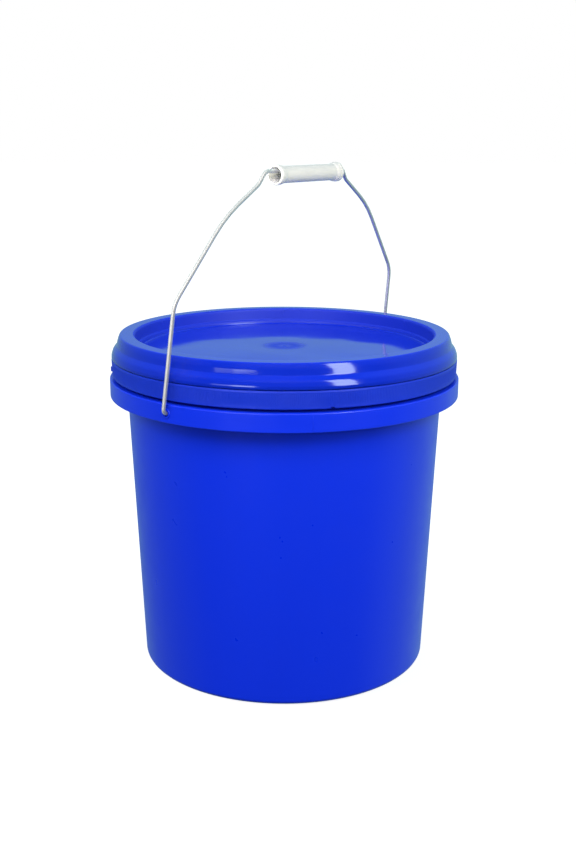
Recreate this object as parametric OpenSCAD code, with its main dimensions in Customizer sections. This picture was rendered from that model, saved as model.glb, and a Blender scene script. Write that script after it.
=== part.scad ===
// Ten-litre wash bucket: a moulded pail, a press-on lid with a tear band and a gasket,
// and a wire bail with a loose hollow grip. Millimetres, +Z up, origin at the middle of
// the foot. The bail turns about an axis along X.

/* [Pail] */
// Outer radius of the wall at the foot
foot_r = 116.6; // [114:0.2:118]
// Outer radius of the wall under the carrying ring
wall_r = 126.2; // [125.6:0.1:126.6]
// Thickness of the wall
wall_t = 1.8; // [1.5:0.1:2.2]
// Radius of the corner between the foot and the wall
foot_round = 4; // [2:0.5:6]
// Height of the floor's underside above the foot
foot_recess = 3.5; // [2:0.5:5]

/* [Carrying ring] */
// Outer radius of the carrying ring
ring_r = 140; // [139.6:0.1:140.4]
// Height of the ring's lower edge
ring_z = 221.5; // [219:0.5:222]
// Height of the ring's top face
ring_top = 235.7; // [235:0.1:236.5]
// Thickness of the ring and of its top flange
ring_t = 1.8; // [1.5:0.1:2.1]
// Number of gussets between the wall and the ring
gussets = 24; // [12:12:36]

/* [Ears] */
// Height of the ear holes and of the bail's axis
ear_z = 228.5; // [228:0.1:229]
// Radius of the ear holes
ear_hole_r = 2.4; // [2:0.1:2.8]
// Radius of the raised collar around each ear hole
collar_r = 4; // [3.6:0.1:4.5]

/* [Lid] */
// Height of the lid's crown
crown_z = 270; // [269.5:0.1:271]
// Radius of the edge between the crown and the recess
recess_r = 119.4; // [118.8:0.1:119.8]
// Height of the lid's panel, which carries the foot of a bucket stacked on top
panel_z = 257; // [256:0.5:258]
// Number of small ribs on the recess wall
recess_ribs = 6; // [3:1:12]
// Height of the tear band
band_h = 13.1; // [12:0.1:13.3]
// Number of bridges between the tear band and the lid
bridges = 24; // [12:6:36]

/* [Bail] */
// Diameter of the wire
wire_d = 3; // [2.6:0.1:3.2]
// Half the distance between the bail's two legs at the ears
leg_x = 142.5; // [142.2:0.1:143.5]
// Height of the wire's crown above the ears, in the bail's own plane
bail_h = 170.1; // [165:0.5:180]
// Lean of the bail towards the front
lean = 6.7; // [0:0.1:12]

/* [Grip] */
// Length of the grip
grip_l = 80; // [70:1:94]
// Diameter of the grip's middle
grip_d = 12.6; // [12:0.1:14]
// Diameter of the collar at each end of the grip
grip_collar_d = 15.2; // [14.6:0.1:17]
// Diameter of the grip's bore
grip_bore_d = 9.6; // [9:0.1:10.4]
// Distance of the grip's middle from the bucket's middle
grip_x = 2.5; // [0:0.5:7]

/* [Hidden] */
$fn = 96;

pail_blue = [0.10, 0.22, 0.86];
lid_blue = [0.08, 0.19, 0.80];
band_blue = [0.10, 0.21, 0.78];
gasket_grey = [0.55, 0.56, 0.58];
wire_grey = [0.72, 0.73, 0.74];
grip_white = [0.93, 0.93, 0.93];

// Pail
draft = (wall_r - foot_r) / ring_z;
floor_t = 2.5;
floor_z = foot_recess + floor_t;
floor_round = 6;
neck_r = 128.4;
neck_t = 2;
rim_r = 131;
rim_z = 265.9;
rim_round = 2.6;
rim_bottom = 257.5;
gusset_t = 1.4;
gusset_drop = 10;
collar_proud = 0.5;
boss_r = 6;
boss_x = 136.2;
gate_r = 2;
gate_proud = 0.6;
parting_at = 226;

// Lid
lid_t = 1.8;
skirt_t = 1.6;
ledge_z = 260;
ledge_r = 116.5;
wall_foot_r = 118.2;
crown_r = 131.9;
crown_round = 1.8;
shoulder_r = 132.9;
shoulder_z = 266.2;
valley_r = 134;
valley_z = 261.6;
flare_r = 136.9;
flare_z = 258;
bead_r = 138.1;
bead_z = 254.2;
lid_edge_z = 251.9;
skirt_in = 132.2;
snap_r = 131.4;
snap_z = 256;
seal_r = 124.9;
seal_z = 259;
dome_r = 104;
dome_h = 1.2;
gate_disc_r = 14.5;
gate_disc_deep = 0.4;
rib_w = 1.2;
rib_deep = 0.9;
rib_at = 38.4;

// Tear band
band_top = 251.1;
band_z = band_top - band_h;
band_r = 138.3;
band_taper = 0.5;
band_t = 1.6;
bridge_w = 1.2;
notch_at = 232;
notch_w = 2.6;
notch_h = 1.4;
tab_at = 136;
tab_w = 9;
tab_h = 2.4;
tab_up = 3.6;
tab_r = 139.3;

// Gasket
gasket_in = 125.3;
gasket_out = 128.2;
gasket_t = 1.9;

// Bail, as headings from the leg's upright inwards to the crown
wire_r = wire_d / 2;
leg_turn = 2.7;
arm_turn = 39.5;
top_turn = 58;
rise_turn = 36;
ear_bend = 4;
leg_bend = 22;
arm_bend = 94;
s_bend = 10;
crown_bend = 7;
leg_l = 69;
arm_l = 53;
rise_l = 6;
hook_bend = 2.6;
hook_l = 1.9;
hook_x = 132.6;
wire_sides = 16;
bend_step = 9;
pin_over = 0.05;
top_l = (bail_h - ear_bend * (1 + sin(leg_turn)) - leg_l * cos(leg_turn)
    - leg_bend * (sin(arm_turn) - sin(leg_turn)) - arm_l * cos(arm_turn)
    - arm_bend * (sin(top_turn) - sin(arm_turn)) - s_bend * (sin(top_turn) - sin(rise_turn))
    - rise_l * cos(rise_turn) - crown_bend * (1 - sin(rise_turn))) / cos(top_turn);
crown_l = leg_x - leg_l * sin(leg_turn) - leg_bend * (cos(leg_turn) - cos(arm_turn))
    - arm_l * sin(arm_turn) - arm_bend * (cos(arm_turn) - cos(top_turn))
    - top_l * sin(top_turn) - s_bend * (cos(rise_turn) - cos(top_turn))
    - rise_l * sin(rise_turn) - crown_bend * cos(rise_turn);
pin_x = hook_x + hook_bend;
pin_l = leg_x - ear_bend * cos(leg_turn) - pin_x;
// Straight length, bend radius and turn of each stretch of wire, from the crown to the hook
steps = [
    [crown_l, crown_bend, 90 - rise_turn],
    [rise_l, s_bend, rise_turn - top_turn],
    [top_l, arm_bend, top_turn - arm_turn],
    [arm_l, leg_bend, arm_turn - leg_turn],
    [leg_l, ear_bend, 90 + leg_turn],
    [pin_l, hook_bend, -90]];

// Grip
grip_gap = 0.3;
grip_s = bail_h + wire_r + grip_gap - grip_bore_d / 2;
grip_mouth_d = 12;
grip_collar_l = 6;
grip_flare_l = 8;
grip_round = 1.4;

// Points of an arc, from angle a to angle b about the centre c
function arc(c, r, a, b, n = 6) =
    [for (i = [0 : n]) c + r * [cos(a + (b - a) * i / n), sin(a + (b - a) * i / n)]];

// Outer radius of the pail's wall at height z
function wall_at(z) = foot_r + draft * z;

// Places the children n times around the upright axis
module around(n, start = 0) {
    for (i = [0 : n - 1])
        rotate([0, 0, start + i * 360 / n])
            children();
}

// Places the children in the bail's own plane, at its axis
module in_bail() {
    translate([0, 0, ear_z])
        rotate([lean, 0, 0])
            children();
}

module pail_shell() {
    flange_z = ring_top - ring_t;
    inside_r = ring_r - ring_t;
    rotate_extrude()
        polygon(concat(
            [[0, foot_recess], [foot_r - 10, foot_recess], [foot_r - 8.5, 0.6], [foot_r - 7.6, 0]],
            arc([foot_r - foot_round, foot_round], foot_round, -90, 0),
            [[wall_at(flange_z), flange_z], [inside_r, flange_z], [inside_r, ring_z + 0.5]],
            [[inside_r + 0.4, ring_z]],
            arc([ring_r - 0.6, ring_z + 0.6], 0.6, -90, 0, 3),
            arc([ring_r - 1, ring_top - 1], 1, 0, 90, 4),
            [[neck_r + 1, ring_top], [neck_r, ring_top + 1], [neck_r, rim_bottom]],
            [[rim_r, rim_bottom + 2.4]],
            arc([rim_r - rim_round, rim_z - rim_round], rim_round, 0, 90),
            arc([neck_r - neck_t + 0.6, rim_z - 1.2], 1.2, 90, 180, 4),
            [[neck_r - neck_t - 0.6, rim_bottom + 2], [neck_r - neck_t, rim_bottom]],
            [[neck_r - neck_t, ring_top + 2], [wall_at(ring_top) - wall_t, ring_top - 2]],
            arc([wall_at(floor_z + floor_round) - wall_t - floor_round, floor_z + floor_round],
                floor_round, 0, -90),
            [[0, floor_z]]));
}

module gusset() {
    translate([wall_r - wall_t / 2, -gusset_t / 2, ring_top - ring_t / 2 - gusset_drop])
        cube([ring_r - ring_t / 2 - wall_r + wall_t / 2, gusset_t, gusset_drop]);
}

module ear_boss() {
    translate([0, 0, ear_z])
        rotate([0, 90, 0]) {
            translate([0, 0, boss_x])
                cylinder(h = ring_r - ring_t / 2 - boss_x, r = boss_r);
            translate([0, 0, boss_x + 1])
                cylinder(h = ring_r + collar_proud - boss_x - 1, r = collar_r);
        }
}

module ear_hole() {
    translate([boss_x - 2, 0, ear_z])
        rotate([0, 90, 0])
            cylinder(h = ring_r - boss_x + 6, r = ear_hole_r);
}

module parting_line() {
    translate([ring_r - 0.4, -0.25, ring_z + 0.6])
        cube([0.55, 0.5, ring_top - ring_z - 1.6]);
}

module pail() {
    color(pail_blue)
        difference() {
            union() {
                pail_shell();
                around(gussets, 180 / gussets) gusset();
                around(2) ear_boss();
                around(2, parting_at) parting_line();
                translate([0, 0, foot_recess - gate_proud])
                    cylinder(h = gate_proud + 1, r = gate_r);
            }
            around(2) ear_hole();
        }
}

module lid_shell() {
    crown_under = crown_z - lid_t;
    rotate_extrude()
        polygon(concat(
            [for (i = [0 : 6]) [dome_r * i / 6, panel_z + dome_h * (1 - pow(i / 6, 2))]],
            [[ledge_r - 1.4, panel_z], [ledge_r - 0.5, panel_z + 0.6], [ledge_r - 0.3, ledge_z - 0.3]],
            [[ledge_r, ledge_z], [wall_foot_r - 0.8, ledge_z], [wall_foot_r, ledge_z + 0.8]],
            arc([recess_r + 2, crown_z - 2], 2, 180, 90),
            arc([crown_r - crown_round, crown_z - crown_round], crown_round, 90, 24, 4),
            [[shoulder_r, shoulder_z], [valley_r, valley_z], [flare_r, flare_z], [bead_r, bead_z]],
            [[bead_r + 0.1, lid_edge_z + 0.4], [bead_r - 0.3, lid_edge_z], [bead_r - skirt_t, lid_edge_z]],
            [[bead_r - skirt_t - 1, bead_z + 0.4], [snap_r + 0.4, snap_z - 1], [snap_r, snap_z]],
            [[snap_r + 0.3, snap_z + 0.9], [skirt_in, snap_z + 1.6], [skirt_in, valley_z]],
            [[shoulder_r - skirt_t, shoulder_z], [crown_r - skirt_t - 1.5, crown_under]],
            [[gasket_out + 0.3, crown_under], [seal_r, crown_under], [seal_r - 0.3, seal_z + 0.5]],
            [[seal_r - 0.8, seal_z], [seal_r - 1.3, seal_z + 0.5], [seal_r - 1.6, crown_under]],
            [[recess_r + lid_t, crown_under], [wall_foot_r + lid_t, ledge_z - 1]],
            [[wall_foot_r + lid_t - 0.8, ledge_z - lid_t], [ledge_r + 1.2, ledge_z - lid_t]],
            [[ledge_r + 0.6, panel_z - lid_t + 0.4], [ledge_r, panel_z - lid_t]],
            [for (i = [6 : -1 : 0]) [dome_r * i / 6, panel_z - lid_t + dome_h * (1 - pow(i / 6, 2))]]));
}

module recess_rib() {
    translate([recess_r - rib_deep - 0.6, -rib_w / 2, ledge_z + 1])
        cube([rib_deep + 1.4, rib_w, crown_z - ledge_z - 2.4]);
}

module web() {
    translate([recess_r + 1, -rib_w / 2, crown_z - lid_t - 6])
        cube([seal_r - 0.8 - recess_r - 1, rib_w, 6.6]);
}

module lid() {
    color(lid_blue)
        difference() {
            union() {
                lid_shell();
                around(recess_ribs, rib_at) recess_rib();
                around(12, 15) web();
            }
            translate([0, 0, panel_z + dome_h - gate_disc_deep])
                difference() {
                    cylinder(h = 2, r = gate_disc_r);
                    cylinder(h = gate_disc_deep, r = gate_r);
                }
        }
}

module tear_band() {
    color(band_blue) {
        difference() {
            rotate_extrude()
                polygon([
                    [band_r - band_t, band_z + 0.6],
                    [band_r - band_t + 0.4, band_z],
                    [band_r - band_taper - 0.5, band_z],
                    [band_r - band_taper, band_z + 0.5],
                    [band_r, band_top - 0.8],
                    [band_r - 0.5, band_top],
                    [band_r - band_t, band_top]]);
            rotate([0, 0, notch_at])
                translate([band_r - band_t - 1, -notch_w / 2, band_z - 1])
                    cube([band_t + 2, notch_w, notch_h + 1]);
        }
        around(bridges, 7)
            translate([band_r - band_t, -bridge_w / 2, band_top - 0.4])
                cube([0.8, bridge_w, lid_edge_z - band_top + 0.4]);
        rotate([0, 0, tab_at])
            translate([band_r - band_t + 0.5, -tab_w / 2, band_z + tab_up])
                cube([tab_r - band_r + band_t - 0.5, tab_w, tab_h]);
    }
}

module lid_gasket() {
    color(gasket_grey)
        rotate_extrude()
            polygon(concat(
                [[gasket_in, crown_z - lid_t], [gasket_in, crown_z - lid_t - gasket_t + 0.5]],
                [[gasket_in + 0.5, crown_z - lid_t - gasket_t]],
                [[gasket_out - 0.5, crown_z - lid_t - gasket_t]],
                [[gasket_out, crown_z - lid_t - gasket_t + 0.5], [gasket_out, crown_z - lid_t]]));
}

// Points on the wire in the bail's plane with the heading at each, from step i on: the wire
// runs straight on from p at heading h below the outward level, and then bends
function run(i, p, h) =
    i == len(steps) ? [[p + hook_l * [cos(h), -sin(h)], h]] :
    let (turn = steps[i][2],
        side = steps[i][1] * sign(turn),
        q = p + steps[i][0] * [cos(h), -sin(h)],
        c = q - side * [sin(h), cos(h)],
        n = max(1, round(abs(turn) / bend_step)),
        bend = [for (k = [0 : n]) let (g = h + turn * k / n) [c + side * [sin(g), cos(g)], g]])
    concat(bend, run(i + 1, bend[n][0], h + turn));

// A tube of the wire's radius along a route of [point, heading] in the XZ plane
module tube(route) {
    last = len(route) - 1;
    corners = [for (p = route) for (k = [0 : wire_sides - 1])
        let (a = k * 360 / wire_sides)
        [p[0][0] + wire_r * cos(a) * sin(p[1]), wire_r * sin(a), p[0][1] + wire_r * cos(a) * cos(p[1])]];
    sides = [for (i = [0 : last - 1]) for (k = [0 : wire_sides - 1])
        let (m = (k + 1) % wire_sides, o = i * wire_sides)
        [o + k, o + m, o + m + wire_sides, o + k + wire_sides]];
    near = [for (k = [wire_sides - 1 : -1 : 0]) k];
    far = [for (k = [0 : wire_sides - 1]) last * wire_sides + k];
    polyhedron(points = corners, faces = concat(sides, [near, far]), convexity = 10);
}

// The length of wire that lies in an ear hole, a hair thicker than the rest
module ear_pin() {
    translate([pin_x, 0, 0])
        rotate([0, 90, 0])
            cylinder(h = pin_l, r = wire_r + pin_over);
}

module bail_wire() {
    half = run(0, [0, bail_h], 0);
    last = len(half) - 1;
    back = [for (i = [last : -1 : 0]) [[-half[i][0][0], half[i][0][1]], -half[i][1]]];
    color(wire_grey)
        in_bail() {
            tube(concat(back, half));
            around(2) ear_pin();
        }
}

module grip() {
    half = grip_l / 2;
    body_r = grip_d / 2;
    collar = grip_collar_d / 2;
    bore_r = grip_bore_d / 2;
    mouth_r = grip_mouth_d / 2;
    end = concat(
        [[body_r, half - grip_collar_l - 1.6], [collar - 0.5, half - grip_collar_l + 0.6]],
        arc([collar - grip_round, half - grip_round], grip_round, 0, 90, 4),
        [[mouth_r, half], [bore_r, half - grip_flare_l]]);
    last = len(end) - 1;
    color(grip_white)
        in_bail()
            translate([grip_x, 0, grip_s])
                rotate([0, 90, 0])
                    rotate_extrude()
                        polygon(concat(end, [for (i = [last : -1 : 0]) [end[i][0], -end[i][1]]]));
}

pail();
lid();
tear_band();
lid_gasket();
bail_wire();
grip();
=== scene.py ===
"""The wash bucket: a blue moulded pail with a press-on lid, and a wire bail with a white grip."""

import math

import bmesh
import bpy
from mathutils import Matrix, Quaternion, Vector


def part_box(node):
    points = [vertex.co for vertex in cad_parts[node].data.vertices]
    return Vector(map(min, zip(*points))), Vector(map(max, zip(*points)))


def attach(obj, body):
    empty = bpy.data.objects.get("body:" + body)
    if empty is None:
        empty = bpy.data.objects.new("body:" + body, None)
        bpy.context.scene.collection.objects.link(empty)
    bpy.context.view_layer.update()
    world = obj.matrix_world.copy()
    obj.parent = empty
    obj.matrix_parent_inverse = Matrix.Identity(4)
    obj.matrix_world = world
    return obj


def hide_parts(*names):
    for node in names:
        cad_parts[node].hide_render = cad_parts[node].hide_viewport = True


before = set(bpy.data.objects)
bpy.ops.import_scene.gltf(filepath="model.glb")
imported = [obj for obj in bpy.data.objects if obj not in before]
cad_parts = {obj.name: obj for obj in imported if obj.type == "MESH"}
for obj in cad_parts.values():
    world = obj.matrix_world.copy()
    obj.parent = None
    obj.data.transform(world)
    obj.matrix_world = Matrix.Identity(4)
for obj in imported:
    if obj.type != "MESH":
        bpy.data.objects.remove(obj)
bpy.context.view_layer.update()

# ---------------------------------------------------------------- sizes, in metres
MM = 0.001
AROUND = 288
ORIGIN = (0.0, 0.0, 0.0)

_, pail_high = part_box("pail")
lid_low, lid_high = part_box("lid")
band_low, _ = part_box("tear_band")
_, wire_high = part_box("bail_wire")
grip_low, grip_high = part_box("grip")

# Pail
COLLAR_PROUD = 0.5 * MM
RING_R = pail_high.x - COLLAR_PROUD
RING_T = 1.8 * MM
RING_Z = 221.5 * MM
RING_TOP = 235.7 * MM
WALL_T = 1.8 * MM
FOOT_R = 116.6 * MM
WALL_R = 126.2 * MM
NECK_R = 128.4 * MM
RIM_R = 131.0 * MM
RIM_Z = pail_high.z
FLOOR_UNDER = 3.5 * MM
FLOOR_TOP = 6.0 * MM
GUSSETS = 24
SEAM_ANGLES = (226, 46)
EAR_Z = 228.5 * MM
EAR_HOLE_R = 2.4 * MM
COLLAR_R = 4.0 * MM

# Lid
CROWN_Z = lid_high.z
LID_EDGE_Z = lid_low.z
PANEL_Z = 257.0 * MM
DOME_R = 104.0 * MM
DOME_H = 1.2 * MM
RECESS_R = 119.4 * MM
LEDGE_R = 116.5 * MM
LEDGE_Z = 260.0 * MM
RECESS_RIBS = 6

# Tear band
BAND_Z = band_low.z
BAND_TOP = LID_EDGE_Z - 0.5 * MM
BAND_R = 138.3 * MM
FLUTES = 648
BRIDGES = 24
TAB_AT = 136
NOTCH_AT = 232

# Bail, in its own upright plane, measured from the ears' axis
WIRE_R = 1.5 * MM
LEAN = math.radians(6.7)
BAIL_H = 170.1 * MM
LEG_X = wire_high.x - WIRE_R

# Grip
GRIP_L = grip_high.x - grip_low.x
GRIP_MIDDLE = (grip_low + grip_high) / 2
GRIP_R = 6.3 * MM
GRIP_COLLAR_R = 7.6 * MM
GRIP_BORE_R = 4.8 * MM
GRIP_MOUTH_R = 6.0 * MM


# ---------------------------------------------------------------- modelling helpers
def fresh():
    """Object mode, with nothing selected."""
    active = bpy.context.view_layer.objects.active
    if active is not None and active.mode != "OBJECT":
        bpy.ops.object.mode_set(mode="OBJECT")
    bpy.ops.object.select_all(action="DESELECT")


def work_on(piece, mode="EDIT"):
    """Only this piece selected, active and in the given mode."""
    fresh()
    piece.select_set(True)
    bpy.context.view_layer.objects.active = piece
    if mode == "EDIT":
        bpy.ops.object.mode_set(mode="EDIT")
        bpy.ops.mesh.select_all(action="DESELECT")


def named(piece, name):
    piece.name = name
    piece.data.name = name
    return piece


def pick(piece, kind, test):
    """In edit mode, selects only the verts, edges or faces whose middle passes the test."""
    bpy.ops.mesh.select_all(action="DESELECT")
    bpy.ops.mesh.select_mode(type={"verts": "VERT", "edges": "EDGE", "faces": "FACE"}[kind])
    shape = bmesh.from_edit_mesh(piece.data)
    for part in getattr(shape, kind):
        if kind == "verts":
            place = part.co
        elif kind == "edges":
            place = (part.verts[0].co + part.verts[1].co) / 2
        else:
            place = part.calc_center_median()
        if test(place):
            part.select_set(True)
    shape.select_flush_mode()
    bmesh.update_edit_mesh(piece.data)


def rounded(corners, steps=5, hold=0.6 * MM):
    """Points of an outline whose corners (r, z, radius) are rounded off with arcs.

    A long flat stretch gets a point a little way from each arc, which keeps it flat."""
    points = []
    for i, (r, z, radius) in enumerate(corners):
        here = Vector((r, z))
        if radius == 0 or i in (0, len(corners) - 1):
            points.append(here)
            continue
        back = Vector(corners[i - 1][:2]) - here
        on = Vector(corners[i + 1][:2]) - here
        half = back.angle(on) / 2
        reach = radius / math.tan(half)
        start = here + back.normalized() * reach
        end = here + on.normalized() * reach
        middle = here + (back.normalized() + on.normalized()).normalized() * (radius / math.sin(half))
        if back.length > 8 * hold + reach:
            points.append(start + back.normalized() * hold)
        sweep = math.pi - 2 * half
        a, b = start - middle, end - middle
        for k in range(steps + 1):
            t = k / steps
            between = (a * math.sin((1 - t) * sweep) + b * math.sin(t * sweep)) / math.sin(sweep)
            points.append(middle + between)
        if on.length > 8 * hold + reach:
            points.append(end + on.normalized() * hold)
    return [tuple(p) for p in points]


def single_point(name, place):
    """A new mesh of one point, in edit mode with the point selected."""
    fresh()
    bpy.ops.mesh.primitive_plane_add(size=MM, location=ORIGIN)
    piece = named(bpy.context.object, name)
    bpy.ops.object.mode_set(mode="EDIT")
    bpy.ops.mesh.select_mode(type="VERT")
    bpy.ops.mesh.select_all(action="SELECT")
    bpy.ops.mesh.merge(type="CENTER")
    bpy.ops.transform.translate(value=place)
    return piece


def turned(name, outline, closed=False, around=AROUND):
    """A solid turned about the upright axis from an outline of (r, z) points."""
    piece = single_point(name, (outline[0][0], 0, outline[0][1]))
    for (r0, z0), (r1, z1) in zip(outline, outline[1:]):
        bpy.ops.mesh.extrude_vertices_move(TRANSFORM_OT_translate={"value": (r1 - r0, 0, z1 - z0)})
    if closed:
        first, last = (Vector((p[0], 0, p[1])) for p in (outline[0], outline[-1]))
        near = 0.001 * MM
        pick(piece, "verts", lambda p: (p - first).length < near or (p - last).length < near)
        bpy.ops.mesh.edge_face_add()
    bpy.ops.object.mode_set(mode="OBJECT")
    turn = piece.modifiers.new("turn", "SCREW")
    turn.angle = 2 * math.pi
    turn.steps = turn.render_steps = around
    turn.use_merge_vertices = True
    turn.merge_threshold = 0.004 * MM
    apply_modifier(piece, turn)
    work_on(piece)
    bpy.ops.mesh.select_mode(type="VERT")
    bpy.ops.mesh.select_all(action="SELECT")
    bpy.ops.mesh.remove_doubles(threshold=0.004 * MM)
    bpy.ops.mesh.normals_make_consistent(inside=False)
    bpy.ops.object.mode_set(mode="OBJECT")
    return piece


def block(size, place, angle, bevel=0.0):
    """A block at a place out along +X, turned to an angle about the upright axis."""
    fresh()
    bpy.ops.mesh.primitive_cube_add(size=1, location=ORIGIN)
    piece = bpy.context.object
    bpy.ops.object.mode_set(mode="EDIT")
    bpy.ops.transform.resize(value=size)
    if bevel:
        bpy.ops.mesh.bevel(offset=bevel, segments=2)
        bpy.ops.mesh.select_all(action="SELECT")
    bpy.ops.transform.translate(value=place)
    bpy.ops.object.mode_set(mode="OBJECT")
    piece.rotation_euler.z = angle
    settle(piece)
    return piece


def settle(piece):
    """Puts the piece's place and turn into its mesh."""
    fresh()
    piece.select_set(True)
    bpy.context.view_layer.objects.active = piece
    bpy.ops.object.transform_apply(location=True, rotation=True, scale=True)


def drum(radius, low, high, place, axis="Z", sides=48):
    """A round bar from low to high along an axis through a place."""
    fresh()
    turn = (0, math.pi / 2, 0) if axis == "X" else (0, 0, 0)
    bpy.ops.mesh.primitive_cylinder_add(vertices=sides, radius=radius, depth=high - low, rotation=turn)
    piece = bpy.context.object
    along = Vector((1, 0, 0)) if axis == "X" else Vector((0, 0, 1))
    piece.location = Vector(place) + along * (low + high) / 2
    settle(piece)
    return piece


def joined(pieces, name):
    fresh()
    for piece in pieces:
        piece.select_set(True)
    bpy.context.view_layer.objects.active = pieces[0]
    if len(pieces) > 1:
        bpy.ops.object.join()
    return named(bpy.context.view_layer.objects.active, name)


def apply_modifier(piece, modifier):
    work_on(piece, mode="OBJECT")
    bpy.ops.object.modifier_apply(modifier=modifier.name)


def carve(piece, tool, operation):
    """Unites the piece with a tool shape, or cuts the tool shape out of it, and drops the tool."""
    cut = piece.modifiers.new("carve", "BOOLEAN")
    cut.operation = operation
    cut.solver = "MANIFOLD"
    cut.object = tool
    apply_modifier(piece, cut)
    bpy.data.objects.remove(tool)


def smooth(piece, degrees=32):
    work_on(piece, mode="OBJECT")
    bpy.ops.object.shade_smooth_by_angle(angle=math.radians(degrees))


# ---------------------------------------------------------------- materials
def new_material(name):
    material = bpy.data.materials.new(name)
    material.use_nodes = True
    nodes, links = material.node_tree.nodes, material.node_tree.links
    shader = next(n for n in nodes if n.type == "BSDF_PRINCIPLED")
    return material, nodes, links, shader


def object_coordinates(nodes, links, scale):
    where = nodes.new("ShaderNodeTexCoord")
    mapping = nodes.new("ShaderNodeMapping")
    mapping.inputs["Scale"].default_value = scale
    links.new(where.outputs["Object"], mapping.inputs["Vector"])
    return mapping.outputs["Vector"]


def noise(nodes, links, vector, scale, detail=3.0, roughness=0.5):
    texture = nodes.new("ShaderNodeTexNoise")
    texture.inputs["Scale"].default_value = scale
    texture.inputs["Detail"].default_value = detail
    texture.inputs["Roughness"].default_value = roughness
    links.new(vector, texture.inputs["Vector"])
    return texture.outputs["Fac"]


def length_of(nodes, links, vector):
    length = nodes.new("ShaderNodeVectorMath")
    length.operation = "LENGTH"
    links.new(vector, length.inputs[0])
    return length.outputs["Value"]


def ramp(nodes, links, value, low, high, from_low=0.15, from_high=0.85):
    """Spreads a noise value over a range of numbers."""
    spread = nodes.new("ShaderNodeMapRange")
    spread.inputs["From Min"].default_value = from_low
    spread.inputs["From Max"].default_value = from_high
    spread.inputs["To Min"].default_value = low
    spread.inputs["To Max"].default_value = high
    links.new(value, spread.inputs["Value"])
    return spread.outputs["Result"]


def blended(nodes, links, value, colour_a, colour_b):
    mix = nodes.new("ShaderNodeMix")
    mix.data_type = "RGBA"
    mix.inputs["A"].default_value = (*colour_a, 1)
    mix.inputs["B"].default_value = (*colour_b, 1)
    links.new(value, mix.inputs["Factor"])
    return mix.outputs["Result"]


def bumps(nodes, links, shader, layers):
    """Stacks bump layers of (height value, distance in metres, strength) under the shader."""
    normal = None
    for height, distance, strength in layers:
        bump = nodes.new("ShaderNodeBump")
        bump.inputs["Distance"].default_value = distance
        bump.inputs["Strength"].default_value = strength
        links.new(height, bump.inputs["Height"])
        if normal is not None:
            links.new(normal, bump.inputs["Normal"])
        normal = bump.outputs["Normal"]
    links.new(normal, shader.inputs["Normal"])


def moulded_plastic(name, colour, deep, roughness, grain, flow):
    """Blue moulded plastic: pigment that drifts a little, a fine skin and long flow marks."""
    material, nodes, links, shader = new_material(name)
    even = object_coordinates(nodes, links, (1, 1, 1))
    upright = object_coordinates(nodes, links, (1, 1, 0.12))
    drift = noise(nodes, links, upright, 26, detail=4)
    pigment = blended(nodes, links, ramp(nodes, links, drift, 0, 1), colour, deep)
    links.new(pigment, shader.inputs["Base Color"])
    skin = noise(nodes, links, even, 60, detail=3)
    links.new(ramp(nodes, links, skin, roughness * 0.85, roughness * 1.2), shader.inputs["Roughness"])
    shader.inputs["IOR"].default_value = 1.5
    fine = noise(nodes, links, even, 900, detail=2)
    broad = noise(nodes, links, upright, 14, detail=2)
    bumps(nodes, links, shader, [(broad, flow, 1.0), (fine, grain, 1.0)])
    return material


def dull_recess(material):
    """The matt parts of the lid: the recess wall with its ledge, and the gate disc in the middle."""
    nodes, links = material.node_tree.nodes, material.node_tree.links
    shader = next(n for n in nodes if n.type == "BSDF_PRINCIPLED")
    polished = shader.inputs["Roughness"].links[0].from_socket
    flat = object_coordinates(nodes, links, (1, 1, 0))
    radius = length_of(nodes, links, flat)
    bands = nodes.new("ShaderNodeValToRGB")
    span = 140.845 * MM
    stops = ((0, 0.3), (8.45, 0.9), (21.13, 0.0), (115.77, 0.0), (116.06, 1.0), (120.56, 1.0), (121.13, 0.0))
    for i, (out, matt) in enumerate(stops):
        place = out * MM / span
        stop = bands.color_ramp.elements[i] if i < 2 else bands.color_ramp.elements.new(place)
        stop.position = place
        stop.color = (matt, matt, matt, 1)
    scaled = nodes.new("ShaderNodeMath")
    scaled.operation = "MULTIPLY"
    scaled.inputs[1].default_value = 1 / span
    links.new(radius, scaled.inputs[0])
    links.new(scaled.outputs["Value"], bands.inputs["Fac"])
    mix = nodes.new("ShaderNodeMix")
    mix.inputs["B"].default_value = 0.55
    links.new(bands.outputs["Color"], mix.inputs["Factor"])
    links.new(polished, mix.inputs["A"])
    links.new(mix.outputs["Result"], shader.inputs["Roughness"])


def galvanised_wire():
    """Bright zinc-coated wire with drawing marks along it."""
    material, nodes, links, shader = new_material("galvanised_wire")
    even = object_coordinates(nodes, links, (1, 1, 1))
    patches = noise(nodes, links, even, 240, detail=4)
    tint = blended(nodes, links, ramp(nodes, links, patches, 0, 1), (0.86, 0.86, 0.85), (0.66, 0.67, 0.67))
    links.new(tint, shader.inputs["Base Color"])
    shader.inputs["Metallic"].default_value = 0.55
    links.new(ramp(nodes, links, patches, 0.28, 0.44), shader.inputs["Roughness"])
    marks = noise(nodes, links, even, 1400, detail=3)
    bumps(nodes, links, shader, [(marks, 0.02 * MM, 0.6)])
    return material


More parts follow.
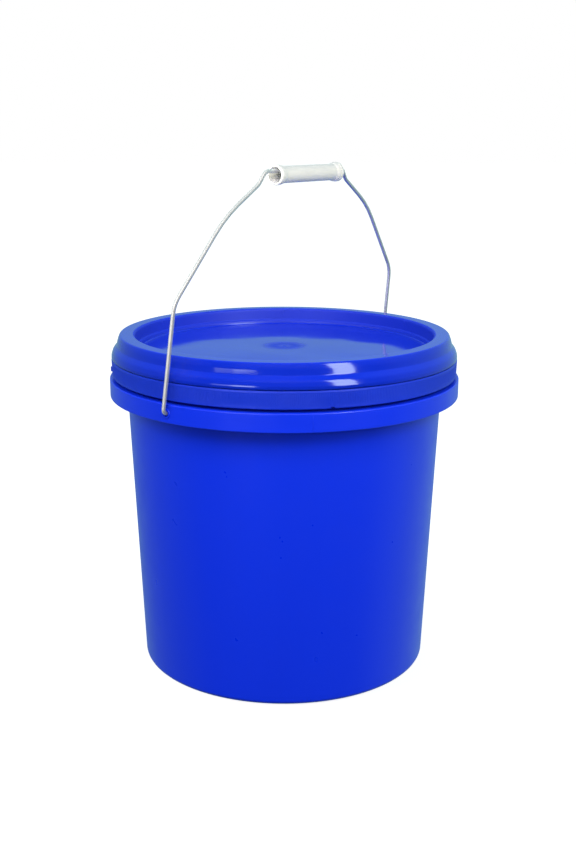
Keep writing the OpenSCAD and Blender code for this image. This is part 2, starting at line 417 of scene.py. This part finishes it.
def white_plastic():
    """Satin white plastic, a little uneven from the mould."""
    material, nodes, links, shader = new_material("white_plastic")
    even = object_coordinates(nodes, links, (1, 1, 1))
    cloud = noise(nodes, links, even, 90, detail=4)
    tint = blended(nodes, links, ramp(nodes, links, cloud, 0, 1), (0.82, 0.82, 0.815), (0.78, 0.78, 0.78))
    links.new(tint, shader.inputs["Base Color"])
    links.new(ramp(nodes, links, cloud, 0.38, 0.5), shader.inputs["Roughness"])
    shader.inputs["IOR"].default_value = 1.48
    shader.inputs["Subsurface Weight"].default_value = 0.25
    shader.inputs["Subsurface Radius"].default_value = (1, 1, 1)
    shader.inputs["Subsurface Scale"].default_value = 3 * MM
    pores = noise(nodes, links, even, 1300, detail=2)
    waves = noise(nodes, links, even, 120, detail=2)
    bumps(nodes, links, shader, [(waves, 0.12 * MM, 0.5), (pores, 0.02 * MM, 0.5)])
    return material


def grey_rubber():
    """Soft foamed gasket rubber."""
    material, nodes, links, shader = new_material("gasket_rubber")
    even = object_coordinates(nodes, links, (1, 1, 1))
    cells = noise(nodes, links, even, 1800, detail=4)
    tint = blended(nodes, links, ramp(nodes, links, cells, 0, 1), (0.30, 0.31, 0.33), (0.22, 0.23, 0.24))
    links.new(tint, shader.inputs["Base Color"])
    links.new(ramp(nodes, links, cells, 0.65, 0.85), shader.inputs["Roughness"])
    bumps(nodes, links, shader, [(cells, 0.1 * MM, 0.8)])
    return material


def paint(piece, material):
    piece.data.materials.clear()
    piece.data.materials.append(material)


# ---------------------------------------------------------------- pail
def wall_at(z):
    return FOOT_R + (WALL_R - FOOT_R) * z / RING_Z


def pail_outline():
    flange_z = RING_TOP - RING_T
    inside_r = RING_R - RING_T
    wall = [(wall_at(z * MM), z * MM, 0) for z in range(20, 220, 20)]
    return rounded([
        (0, FLOOR_UNDER, 0),
        (FOOT_R - 9.8 * MM, FLOOR_UNDER, 1.0 * MM),
        (FOOT_R - 8.0 * MM, 0, 0.8 * MM),
        (FOOT_R, 0, 4.0 * MM),
        *wall,
        (wall_at(flange_z), flange_z, 0.8 * MM),
        (inside_r, flange_z, 0.8 * MM),
        (inside_r, RING_Z, 0.3 * MM),
        (RING_R, RING_Z, 0.5 * MM),
        (RING_R, RING_TOP, 0.9 * MM),
        (NECK_R, RING_TOP, 1.0 * MM),
        (NECK_R, 257.5 * MM, 0.5 * MM),
        (RIM_R, 259.9 * MM, 0.8 * MM),
        (RIM_R, RIM_Z, 2.6 * MM),
        (125.8 * MM, RIM_Z, 1.4 * MM),
        (126.4 * MM, 257.5 * MM, 2.0 * MM),
        (126.4 * MM, RING_TOP + 2 * MM, 2.0 * MM),
        (wall_at(RING_TOP) - WALL_T, RING_TOP - 2 * MM, 2.0 * MM),
        *[(r - WALL_T, z, 0) for r, z, _ in reversed(wall)],
        (wall_at(FLOOR_TOP) - WALL_T, FLOOR_TOP, 6.0 * MM),
        (0, FLOOR_TOP, 0)])


def make_pail():
    pail = turned("pail_body", pail_outline())
    additions = []
    for i in range(GUSSETS):
        angle = 2 * math.pi * (i + 0.5) / GUSSETS
        inner, outer = WALL_R - 0.9 * MM, RING_R - 0.9 * MM
        size = (outer - inner, 1.4 * MM, 9.4 * MM)
        additions.append(block(size, ((inner + outer) / 2, 0, RING_TOP - 0.9 * MM - 4.7 * MM), angle))
    for side in (-1, 1):
        at_ear = (0, 0, EAR_Z)
        ends = sorted((side * 136.2 * MM, side * (RING_R - 0.9 * MM)))
        additions.append(drum(6 * MM, *ends, at_ear, axis="X"))
        additions.append(ear_collar(side))
    for at in SEAM_ANGLES:
        size = (0.55 * MM, 0.45 * MM, RING_TOP - RING_Z - 1.9 * MM)
        place = (RING_R - 0.12 * MM, 0, (RING_TOP + RING_Z) / 2 - 0.1 * MM)
        additions.append(block(size, place, math.radians(at), bevel=0.12 * MM))
    additions.append(drum(2 * MM, FLOOR_UNDER - 0.6 * MM, FLOOR_UNDER + 1 * MM, ORIGIN))
    carve(pail, joined(additions, "pail_additions"), "UNION")
    holes = []
    for side in (-1, 1):
        ends = sorted((side * 134 * MM, side * 144 * MM))
        holes.append(drum(EAR_HOLE_R, *ends, (0, 0, EAR_Z), axis="X"))
    carve(pail, joined(holes, "ear_holes"), "DIFFERENCE")
    smooth(pail)
    return pail


def ear_collar(side):
    """The raised collar round an ear hole, domed at its edge."""
    outline = rounded([
        (0, 0, 0),
        (COLLAR_R, 0, 0),
        (COLLAR_R, 3.0 * MM, 0.4 * MM),
        (0, 3.0 * MM, 0)], steps=4)
    collar = turned("ear_collar", outline, around=48)
    collar.rotation_euler.y = side * math.pi / 2
    collar.location = (side * (RING_R + COLLAR_PROUD - 3.0 * MM), 0, EAR_Z)
    settle(collar)
    return collar


# ---------------------------------------------------------------- lid
def panel_height(r):
    return PANEL_Z + DOME_H * max(0.0, 1 - (r / DOME_R) ** 2)


def lid_outline():
    nub_r, disc_r, disc_deep, lid_t = 1.8 * MM, 14.5 * MM, 0.3 * MM, 1.8 * MM
    disc_z = panel_height(0) - disc_deep
    rings = 16
    disc = rounded([
        (0, panel_height(0), 0),
        (nub_r, panel_height(0), 0.3 * MM),
        (nub_r + 0.4 * MM, disc_z, 0.2 * MM),
        (disc_r, disc_z, 0)], steps=3)
    panel = [(disc_r + (DOME_R - disc_r) * i / rings, panel_height(disc_r + (DOME_R - disc_r) * i / rings))
             for i in range(rings + 1)]
    top = rounded([
        (DOME_R, PANEL_Z, 0),
        (LEDGE_R - 0.9 * MM, PANEL_Z, 0.6 * MM),
        (LEDGE_R - 0.3 * MM, LEDGE_Z, 0.35 * MM),
        (118.2 * MM, LEDGE_Z, 0.9 * MM),
        (RECESS_R, CROWN_Z, 2.2 * MM),
        (131.3 * MM, CROWN_Z, 1.8 * MM),
        (132.9 * MM, 266.2 * MM, 16.0 * MM),
        (134.0 * MM, 261.6 * MM, 2.5 * MM),
        (136.9 * MM, 258.0 * MM, 8.0 * MM),
        (138.1 * MM, 254.2 * MM, 6.0 * MM),
        (138.2 * MM, LID_EDGE_Z, 0.4 * MM),
        (136.5 * MM, LID_EDGE_Z, 0.3 * MM),
        (135.5 * MM, 254.6 * MM, 0.8 * MM),
        (131.8 * MM, 255.0 * MM, 0.3 * MM),
        (131.4 * MM, 256.0 * MM, 0.3 * MM),
        (132.2 * MM, 257.6 * MM, 0.4 * MM),
        (132.2 * MM, 261.6 * MM, 1.0 * MM),
        (131.3 * MM, 266.2 * MM, 1.5 * MM),
        (128.8 * MM, CROWN_Z - lid_t, 0.8 * MM),
        (124.9 * MM, CROWN_Z - lid_t, 0.5 * MM),
        (124.5 * MM, 259.0 * MM, 0.5 * MM),
        (123.4 * MM, 259.0 * MM, 0.4 * MM),
        (123.2 * MM, CROWN_Z - lid_t, 0.4 * MM),
        (RECESS_R + lid_t, CROWN_Z - lid_t, 0.8 * MM),
        (120.0 * MM, LEDGE_Z - lid_t, 0.8 * MM),
        (LEDGE_R + 1.4 * MM, LEDGE_Z - lid_t, 0.6 * MM),
        (LEDGE_R + 0.7 * MM, PANEL_Z - lid_t, 0.6 * MM),
        (DOME_R, PANEL_Z - lid_t, 0)], steps=6)
    under = [(r, z - lid_t) for r, z in reversed(panel)]
    return disc[:-1] + panel[:-1] + top + under[1:-1] + [(0, panel_height(0) - lid_t)]


def make_lid():
    lid = turned("lid_moulding", lid_outline())
    additions = []
    for i in range(RECESS_RIBS):
        angle = math.radians(38.4 + 360 * i / RECESS_RIBS)
        low, high = LEDGE_Z + 0.4 * MM, CROWN_Z - 1.6 * MM
        size = (2.0 * MM, 1.2 * MM, high - low)
        additions.append(block(size, (RECESS_R + 0.2 * MM, 0, (low + high) / 2), angle, bevel=0.3 * MM))
    for i in range(12):
        low, high = CROWN_Z - 7.8 * MM, CROWN_Z - 1.3 * MM
        size = (3.6 * MM, 1.2 * MM, high - low)
        additions.append(block(size, (122.1 * MM, 0, (low + high) / 2), math.radians(15 + 30 * i)))
    carve(lid, joined(additions, "lid_additions"), "UNION")
    ripple_panel(lid)
    smooth(lid)
    return lid


def ripple_panel(lid):
    """The slight waves that a wide thin panel takes as it cools."""
    group = lid.vertex_groups.new(name="panel")
    for vertex in lid.data.vertices:
        r = math.hypot(vertex.co.x, vertex.co.y)
        if 15 * MM < r < LEDGE_R - 2 * MM:
            weight = min(1.0, (r - 15 * MM) / (20 * MM), (LEDGE_R - 2 * MM - r) / (6 * MM))
            group.add([vertex.index], weight, "REPLACE")
    waves = bpy.data.textures.new("panel_waves", "CLOUDS")
    waves.noise_scale = 0.07
    waves.noise_depth = 1
    ripple = lid.modifiers.new("ripple", "DISPLACE")
    ripple.texture = waves
    ripple.texture_coords = "LOCAL"
    ripple.direction = "Z"
    ripple.strength = 0.9 * MM
    ripple.mid_level = 0.5
    ripple.vertex_group = group.name
    apply_modifier(lid, ripple)
    lid.vertex_groups.clear()


def make_tear_band():
    """The fluted band under the lid's edge, with its bridges, its pull tab and the cut beside it."""
    inner = BAND_R - 1.6 * MM
    bottom = BAND_R - 0.5 * MM
    tab_low, tab_high = BAND_Z + 3.6 * MM, BAND_Z + 6.0 * MM
    bridge_t = 0.8 * MM
    outline = rounded([
        (inner, BAND_Z + 7 * MM, 0),
        (inner, BAND_Z, 0.4 * MM),
        (bottom, BAND_Z, 0.5 * MM),
        (bottom + 0.04 * MM, BAND_Z + 1.2 * MM, 0.2 * MM),
        (bottom + 0.14 * MM, tab_low, 0),
        (bottom + 0.23 * MM, tab_high, 0),
        (BAND_R - 0.04 * MM, BAND_TOP - 2.0 * MM, 0.2 * MM),
        (BAND_R, BAND_TOP, 1.2 * MM),
        (inner, BAND_TOP, 0),
        (inner, BAND_Z + 7.2 * MM, 0)], steps=3, hold=0.4 * MM)
    outline.insert(-2, (inner + bridge_t, BAND_TOP))
    band = turned("fluted_band", outline, closed=True, around=2 * FLUTES)
    work_on(band)
    low, high = BAND_Z + 1.0 * MM, BAND_TOP - 1.4 * MM

    def off_line(p, degrees):
        """How far a place lies from the upright plane at an angle, on that side of the axis."""
        a = math.radians(degrees)
        ahead = p.x * math.cos(a) + p.y * math.sin(a)
        return abs(p.y * math.cos(a) - p.x * math.sin(a)) if ahead > 0 else math.inf

    def on_a_flute(p):
        if not (low < p.z < high and math.hypot(p.x, p.y) > inner + 0.5 * MM):
            return False
        return round(math.atan2(p.y, p.x) / math.pi * FLUTES) % 2 == 0

    def on_a_bridge(p):
        on_top = p.z > BAND_TOP - 0.01 * MM and math.hypot(p.x, p.y) < inner + bridge_t
        return on_top and any(off_line(p, 7 + 360 / BRIDGES * i) < 0.7 * MM for i in range(BRIDGES))

    def on_the_tab(p):
        in_row = tab_low < p.z < tab_high and math.hypot(p.x, p.y) > bottom - 0.3 * MM
        return in_row and off_line(p, TAB_AT) < 4.5 * MM

    def on_the_notch(p):
        return p.z < BAND_Z + 0.6 * MM and off_line(p, NOTCH_AT) < 1.3 * MM

    pick(band, "verts", on_a_flute)
    shrink = 1 - 0.16 * MM / BAND_R
    bpy.ops.transform.resize(value=(shrink, shrink, 1), center_override=ORIGIN)
    pick(band, "verts", on_the_notch)
    bpy.ops.transform.translate(value=(0, 0, 1.4 * MM))
    pick(band, "faces", on_a_bridge)
    bpy.ops.mesh.extrude_region_move(TRANSFORM_OT_translate={"value": (0, 0, LID_EDGE_Z - BAND_TOP)})
    pick(band, "faces", on_the_tab)
    tab_angle, tab_proud = math.radians(TAB_AT), 1.0 * MM
    outwards = (tab_proud * math.cos(tab_angle), tab_proud * math.sin(tab_angle), 0)
    bpy.ops.mesh.extrude_region_move(TRANSFORM_OT_translate={"value": outwards})
    bpy.ops.object.mode_set(mode="OBJECT")
    smooth(band, 24)
    return band


# ---------------------------------------------------------------- bail
def wire_bends():
    """Straight length, bend radius and turn in degrees of each stretch of half the wire."""
    leg, arm, top, rise = 2.7, 39.5, 58.0, 36.0
    ear_bend, leg_bend, arm_bend, s_bend, crown_bend = 4 * MM, 22 * MM, 94 * MM, 10 * MM, 7 * MM
    hook_x, hook_bend = 132.6 * MM, 2.6 * MM
    leg_l, arm_l, rise_l = 69 * MM, 53 * MM, 6 * MM
    s, c = (lambda a: math.sin(math.radians(a))), (lambda a: math.cos(math.radians(a)))
    top_l = (BAIL_H - ear_bend * (1 + s(leg)) - leg_l * c(leg) - leg_bend * (s(arm) - s(leg)) - arm_l * c(arm)
             - arm_bend * (s(top) - s(arm)) - s_bend * (s(top) - s(rise)) - rise_l * c(rise)
             - crown_bend * (1 - s(rise))) / c(top)
    crown_l = (LEG_X - leg_l * s(leg) - leg_bend * (c(leg) - c(arm)) - arm_l * s(arm)
               - arm_bend * (c(arm) - c(top)) - top_l * s(top) - s_bend * (c(rise) - c(top))
               - rise_l * s(rise) - crown_bend * c(rise))
    pin_l = LEG_X - ear_bend * c(leg) - hook_x - hook_bend
    return [
        (crown_l, crown_bend, 90 - rise),
        (rise_l, s_bend, rise - top),
        (top_l, arm_bend, top - arm),
        (arm_l, leg_bend, arm - leg),
        (leg_l, ear_bend, 90 + leg),
        (pin_l, hook_bend, -90)]


def make_bail_wire():
    """Half the wire is drawn from the crown's middle round its bends to the hook, then mirrored."""
    fresh()
    bpy.ops.mesh.primitive_circle_add(
        vertices=20, radius=WIRE_R, rotation=(0, math.pi / 2, 0), location=(0, 0, BAIL_H))
    wire = named(bpy.context.object, "bent_wire")
    settle(wire)
    bpy.ops.object.mode_set(mode="EDIT")
    bpy.ops.mesh.select_mode(type="EDGE")
    bpy.ops.mesh.select_all(action="SELECT")
    at, heading = Vector((0, 0, BAIL_H)), 0.0
    stretches = wire_bends()
    for length, radius, turn in stretches:
        ahead = Vector((math.cos(heading), 0, -math.sin(heading)))
        inward = Vector((-math.sin(heading), 0, -math.cos(heading))) * math.copysign(1, turn)
        bpy.ops.mesh.extrude_edges_move(TRANSFORM_OT_translate={"value": ahead * length})
        centre = at + ahead * length + inward * radius
        steps = max(2, round(abs(turn) / 6))
        bpy.ops.mesh.spin(steps=steps, angle=-math.radians(turn), center=centre, axis=(0, 1, 0))
        heading += math.radians(turn)
        ahead = Vector((math.cos(heading), 0, -math.sin(heading)))
        inward = Vector((-math.sin(heading), 0, -math.cos(heading))) * math.copysign(1, turn)
        at = centre - inward * radius
    ahead = Vector((math.cos(heading), 0, -math.sin(heading)))
    hook_l, crop = 1.9 * MM, 0.25 * MM
    bpy.ops.mesh.extrude_edges_move(TRANSFORM_OT_translate={"value": ahead * (hook_l - crop)})
    bpy.ops.mesh.extrude_edges_move(TRANSFORM_OT_translate={"value": ahead * crop})
    bpy.ops.transform.resize(value=(1 - crop / WIRE_R,) * 3, center_override=at + ahead * hook_l)
    bpy.ops.mesh.edge_face_add()
    bpy.ops.mesh.select_all(action="SELECT")
    bpy.ops.mesh.remove_doubles(threshold=0.002 * MM)
    bpy.ops.object.mode_set(mode="OBJECT")
    mirror = wire.modifiers.new("mirror", "MIRROR")
    mirror.use_axis = (True, False, False)
    mirror.merge_threshold = 0.01 * MM
    apply_modifier(wire, mirror)
    work_on(wire)
    bpy.ops.mesh.select_all(action="SELECT")
    bpy.ops.mesh.normals_make_consistent(inside=False)
    bpy.ops.object.mode_set(mode="OBJECT")
    wire.rotation_euler.x = LEAN
    wire.location = (0, 0, EAR_Z)
    settle(wire)
    smooth(wire)
    return wire


def make_grip():
    """The hollow moulded grip, with a stepped collar at each end and a flared bore."""
    half = GRIP_L / 2
    end = rounded([
        (GRIP_R, 0, 0),
        (GRIP_R + 0.1 * MM, half - 8.2 * MM, 2.0 * MM),
        (GRIP_COLLAR_R - 0.35 * MM, half - 5.8 * MM, 0.8 * MM),
        (GRIP_COLLAR_R - 0.25 * MM, half - 3.6 * MM, 0.3 * MM),
        (GRIP_COLLAR_R, half - 3.2 * MM, 0.3 * MM),
        (GRIP_COLLAR_R, half, 1.2 * MM),
        (GRIP_MOUTH_R, half, 0.3 * MM),
        (GRIP_BORE_R, half - 8.0 * MM, 2.0 * MM),
        (GRIP_BORE_R, 0, 0)], steps=5)
    outline = end[1:-1] + [(r, -z) for r, z in reversed(end[1:-1])]
    grip = turned("hollow_grip", outline, closed=True, around=96)
    seams = [block((0.5 * MM, 0.35 * MM, GRIP_L - 17 * MM), (GRIP_R - 0.14 * MM, 0, 0), angle, bevel=0.1 * MM)
             for angle in (math.radians(100), math.radians(280))]
    carve(grip, joined(seams, "grip_seams"), "UNION")
    grip.rotation_euler.y = math.pi / 2
    grip.location = GRIP_MIDDLE
    settle(grip)
    smooth(grip)
    return grip


# ---------------------------------------------------------------- camera, floor and light
CAMERA_AT = math.radians(-52.3)
CAMERA_OUT = 0.9507
CAMERA_UP = 0.434
CAMERA_PITCH = math.radians(14.61)
CAMERA_YAW = math.radians(0.18)
CAMERA_ROLL = math.radians(-0.17)
CAMERA_LENS = 49.86
PAIL_MIDDLE = (0, 0, 0.2)
LID_TOP = (0, 0, 0.27)
LID_SIDE = (0, 0, 0.28)
BAIL_MIDDLE = (0, 0, 0.33)
STUDIO_TINT = (0.56, 1.0, 1.0)
SOFTBOX_TINT = (0.86, 1.0, 1.0)
WARM_TINT = (1.0, 0.92, 0.89)
# The studio's brightness, from the camera's side (0) to behind the bucket (1)
SURROUND = ((0.30, 0.05), (0.42, 0.20), (0.60, 0.32), (0.80, 0.42), (0.93, 0.48), (1.0, 0.48))


def toward(azimuth, elevation=0.0):
    """Unit vector from the bucket; azimuth is in degrees to the right of the camera's side."""
    a = CAMERA_AT + math.radians(azimuth)
    e = math.radians(elevation)
    return Vector((math.sin(a) * math.cos(e), -math.cos(a) * math.cos(e), math.sin(e)))


def make_camera():
    lens = bpy.data.cameras.new("camera")
    lens.lens = CAMERA_LENS
    lens.sensor_width = 36
    lens.clip_start, lens.clip_end = 0.05, 50
    camera = bpy.data.objects.new("camera", lens)
    bpy.context.scene.collection.objects.link(camera)
    back = toward(0)
    camera.location = back * CAMERA_OUT + Vector((0, 0, CAMERA_UP))
    right = Vector((-back.y, back.x, 0))
    ahead = -back * math.cos(CAMERA_PITCH) + Vector((0, 0, -math.sin(CAMERA_PITCH)))
    ahead = ahead + right * math.tan(CAMERA_YAW)
    camera.rotation_mode = "QUATERNION"
    camera.rotation_quaternion = ahead.to_track_quat("-Z", "Y")
    camera.rotation_quaternion.rotate(Quaternion(ahead.normalized(), CAMERA_ROLL))
    bpy.context.scene.camera = camera


def softbox(name, azimuth, elevation, distance, size, power,
            aim=PAIL_MIDDLE, glossy=True, tint=(1, 1, 1), only=()):
    """An area light toward the bucket; with only, it lights just the pieces named there."""
    light = bpy.data.lights.new(name, "AREA")
    light.shape = "RECTANGLE"
    light.size, light.size_y = size
    light.energy = power
    light.color = tint
    lamp = bpy.data.objects.new(name, light)
    bpy.context.scene.collection.objects.link(lamp)
    lamp.location = Vector(aim) + toward(azimuth, elevation) * distance
    lamp.rotation_mode = "QUATERNION"
    lamp.rotation_quaternion = (Vector(aim) - lamp.location).to_track_quat("-Z", "Y")
    lamp.visible_glossy = glossy
    lamp.visible_camera = False
    if only:
        lit = bpy.data.collections.new(name + "_lit")
        for piece in only:
            lit.objects.link(bpy.data.objects[piece])
        lamp.light_linking.receiver_collection = lit


def make_floor():
    fresh()
    bpy.ops.mesh.primitive_circle_add(vertices=96, radius=12, fill_type="NGON", location=ORIGIN)
    floor = named(bpy.context.object, "floor")
    material, nodes, links, shader = new_material("pale_floor")
    shader.inputs["Base Color"].default_value = (0.45, 0.45, 0.45, 1)
    shader.inputs["Roughness"].default_value = 0.9
    shader.inputs["Specular IOR Level"].default_value = 0.0
    shader.inputs["Emission Color"].default_value = (1, 1, 1, 1)
    even = object_coordinates(nodes, links, (1, 1, 1))
    distance = length_of(nodes, links, even)
    # Painted light: the floor glows white instead of being lit. It glows less within about 0.4 m of the axis,
    # a painted shade round the bucket's foot. It lights nothing and shows in no reflection.
    painted_floor_glow = ramp(nodes, links, distance, 0.88, 1.0, from_low=0.12, from_high=0.40)
    links.new(painted_floor_glow, shader.inputs["Emission Strength"])
    paint(floor, material)
    floor.visible_glossy = False
    floor.visible_diffuse = False


def facing(nodes, links, vector, direction, low, high):
    """A number from low, for a vector that points away from the direction, to high, for one along it."""
    product = nodes.new("ShaderNodeVectorMath")
    product.operation = "DOT_PRODUCT"
    product.inputs[1].default_value = direction
    links.new(vector, product.inputs[0])
    return ramp(nodes, links, product.outputs["Value"], low, high, from_low=-1, from_high=1)


def make_world():
    """A white studio: bright behind the bucket, dim on the camera's side, white where it is seen."""
    world = bpy.data.worlds.new("studio")
    bpy.context.scene.world = world
    world.use_nodes = True
    nodes, links = world.node_tree.nodes, world.node_tree.links
    nodes.clear()
    out = nodes.new("ShaderNodeOutputWorld")
    seen = nodes.new("ShaderNodeBackground")
    seen.inputs["Color"].default_value = (1, 1, 1, 1)
    seen.inputs["Strength"].default_value = 1.0
    around = nodes.new("ShaderNodeBackground")
    where = nodes.new("ShaderNodeTexCoord")
    behind = facing(nodes, links, where.outputs["Generated"], -toward(0), 0, 1)
    walls = nodes.new("ShaderNodeValToRGB")
    walls.color_ramp.elements.remove(walls.color_ramp.elements[1])
    for i, (place, grey) in enumerate(SURROUND):
        stop = walls.color_ramp.elements[0] if i == 0 else walls.color_ramp.elements.new(place)
        stop.position = place
        stop.color = (*(c * grey for c in STUDIO_TINT), 1)
    links.new(behind, walls.inputs["Fac"])
    links.new(walls.outputs["Color"], around.inputs["Color"])
    beside = facing(nodes, links, where.outputs["Generated"], toward(90), 0.7, 1.3)
    links.new(beside, around.inputs["Strength"])
    path = nodes.new("ShaderNodeLightPath")
    mix = nodes.new("ShaderNodeMixShader")
    links.new(path.outputs["Is Camera Ray"], mix.inputs["Fac"])
    links.new(around.outputs["Background"], mix.inputs[1])
    links.new(seen.outputs["Background"], mix.inputs[2])
    links.new(mix.outputs["Shader"], out.inputs["Surface"])


def light_up():
    """Softboxes for the blue plastic, soft fills all round, and separate lamps for the wire and the grip."""
    make_world()
    blue, wire, grip = ("pail_body", "lid_moulding", "fluted_band"), ("bent_wire",), ("hollow_grip",)
    softbox("right_softbox", 38.5, 26, 2.0, (0.5, 1.35), 22, tint=SOFTBOX_TINT, only=blue)
    softbox("left_softbox", -25, 9, 2.0, (0.5, 0.5), 6.5, tint=SOFTBOX_TINT, only=blue)
    softbox("left_glow", -38.5, 9, 2.0, (0.45, 0.5), 1.6, tint=SOFTBOX_TINT, only=blue)
    softbox("front_fill", -8, 42, 1.1, (0.9, 0.6), 8.2, LID_SIDE, glossy=False, only=blue + wire)
    softbox("left_fill", -75, 30, 2.0, (1.2, 1.2), 22, glossy=False)
    softbox("right_fill", 80, 30, 2.0, (1.2, 1.2), 13, glossy=False)
    softbox("lid_fill", 0, 84, 1.5, (0.8, 0.8), 17, LID_TOP, glossy=False, only=("lid_moulding",))
    softbox("bail_front", -35, 14, 1.0, (1.1, 1.2), 6.5, BAIL_MIDDLE, tint=WARM_TINT, only=wire)
    softbox("bail_above", -5, 62, 1.0, (1.5, 0.9), 3.0, BAIL_MIDDLE, tint=WARM_TINT, only=wire)
    softbox("grip_key", 8, 30, 1.2, (0.6, 0.6), 11, GRIP_MIDDLE, tint=WARM_TINT, only=grip)
    softbox("grip_bore", -38, 0, 0.6, (0.3, 0.3), 3, GRIP_MIDDLE, glossy=False, only=grip)
    softbox("grip_under", 5, -28, 0.8, (0.6, 0.3), 3.4, GRIP_MIDDLE, glossy=False, tint=(1, 0.96, 0.55),
            only=grip)


# ---------------------------------------------------------------- assembly
def assemble():
    blue = moulded_plastic(
        "pail_blue", (0.004, 0.030, 0.74), (0.004, 0.028, 0.71), 0.30, 0.010 * MM, 0.20 * MM)
    lid_blue = moulded_plastic(
        "lid_blue", (0.003, 0.019, 0.41), (0.003, 0.016, 0.375), 0.10, 0.004 * MM, 0.05 * MM)
    band_blue = moulded_plastic(
        "band_blue", (0.005, 0.030, 0.55), (0.004, 0.024, 0.49), 0.42, 0.03 * MM, 0.05 * MM)
    for piece, node, body, slot, material in (
            (make_pail(), "pail", "pail", "pail_plastic", blue),
            (make_lid(), "lid", "lid", "lid_plastic", lid_blue),
            (make_tear_band(), "tear_band", "lid", "band_plastic", band_blue),
            (make_bail_wire(), "bail_wire", "bail", "bail_steel", galvanised_wire()),
            (make_grip(), "grip", "grip", "grip_plastic", white_plastic())):
        paint(piece, material)
        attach(piece, body)
        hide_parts(node)
    dull_recess(lid_blue)
    paint(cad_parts["lid_gasket"], grey_rubber())


bpy.context.scene.view_settings.view_transform = "Standard"
make_camera()
assemble()
make_floor()
light_up()
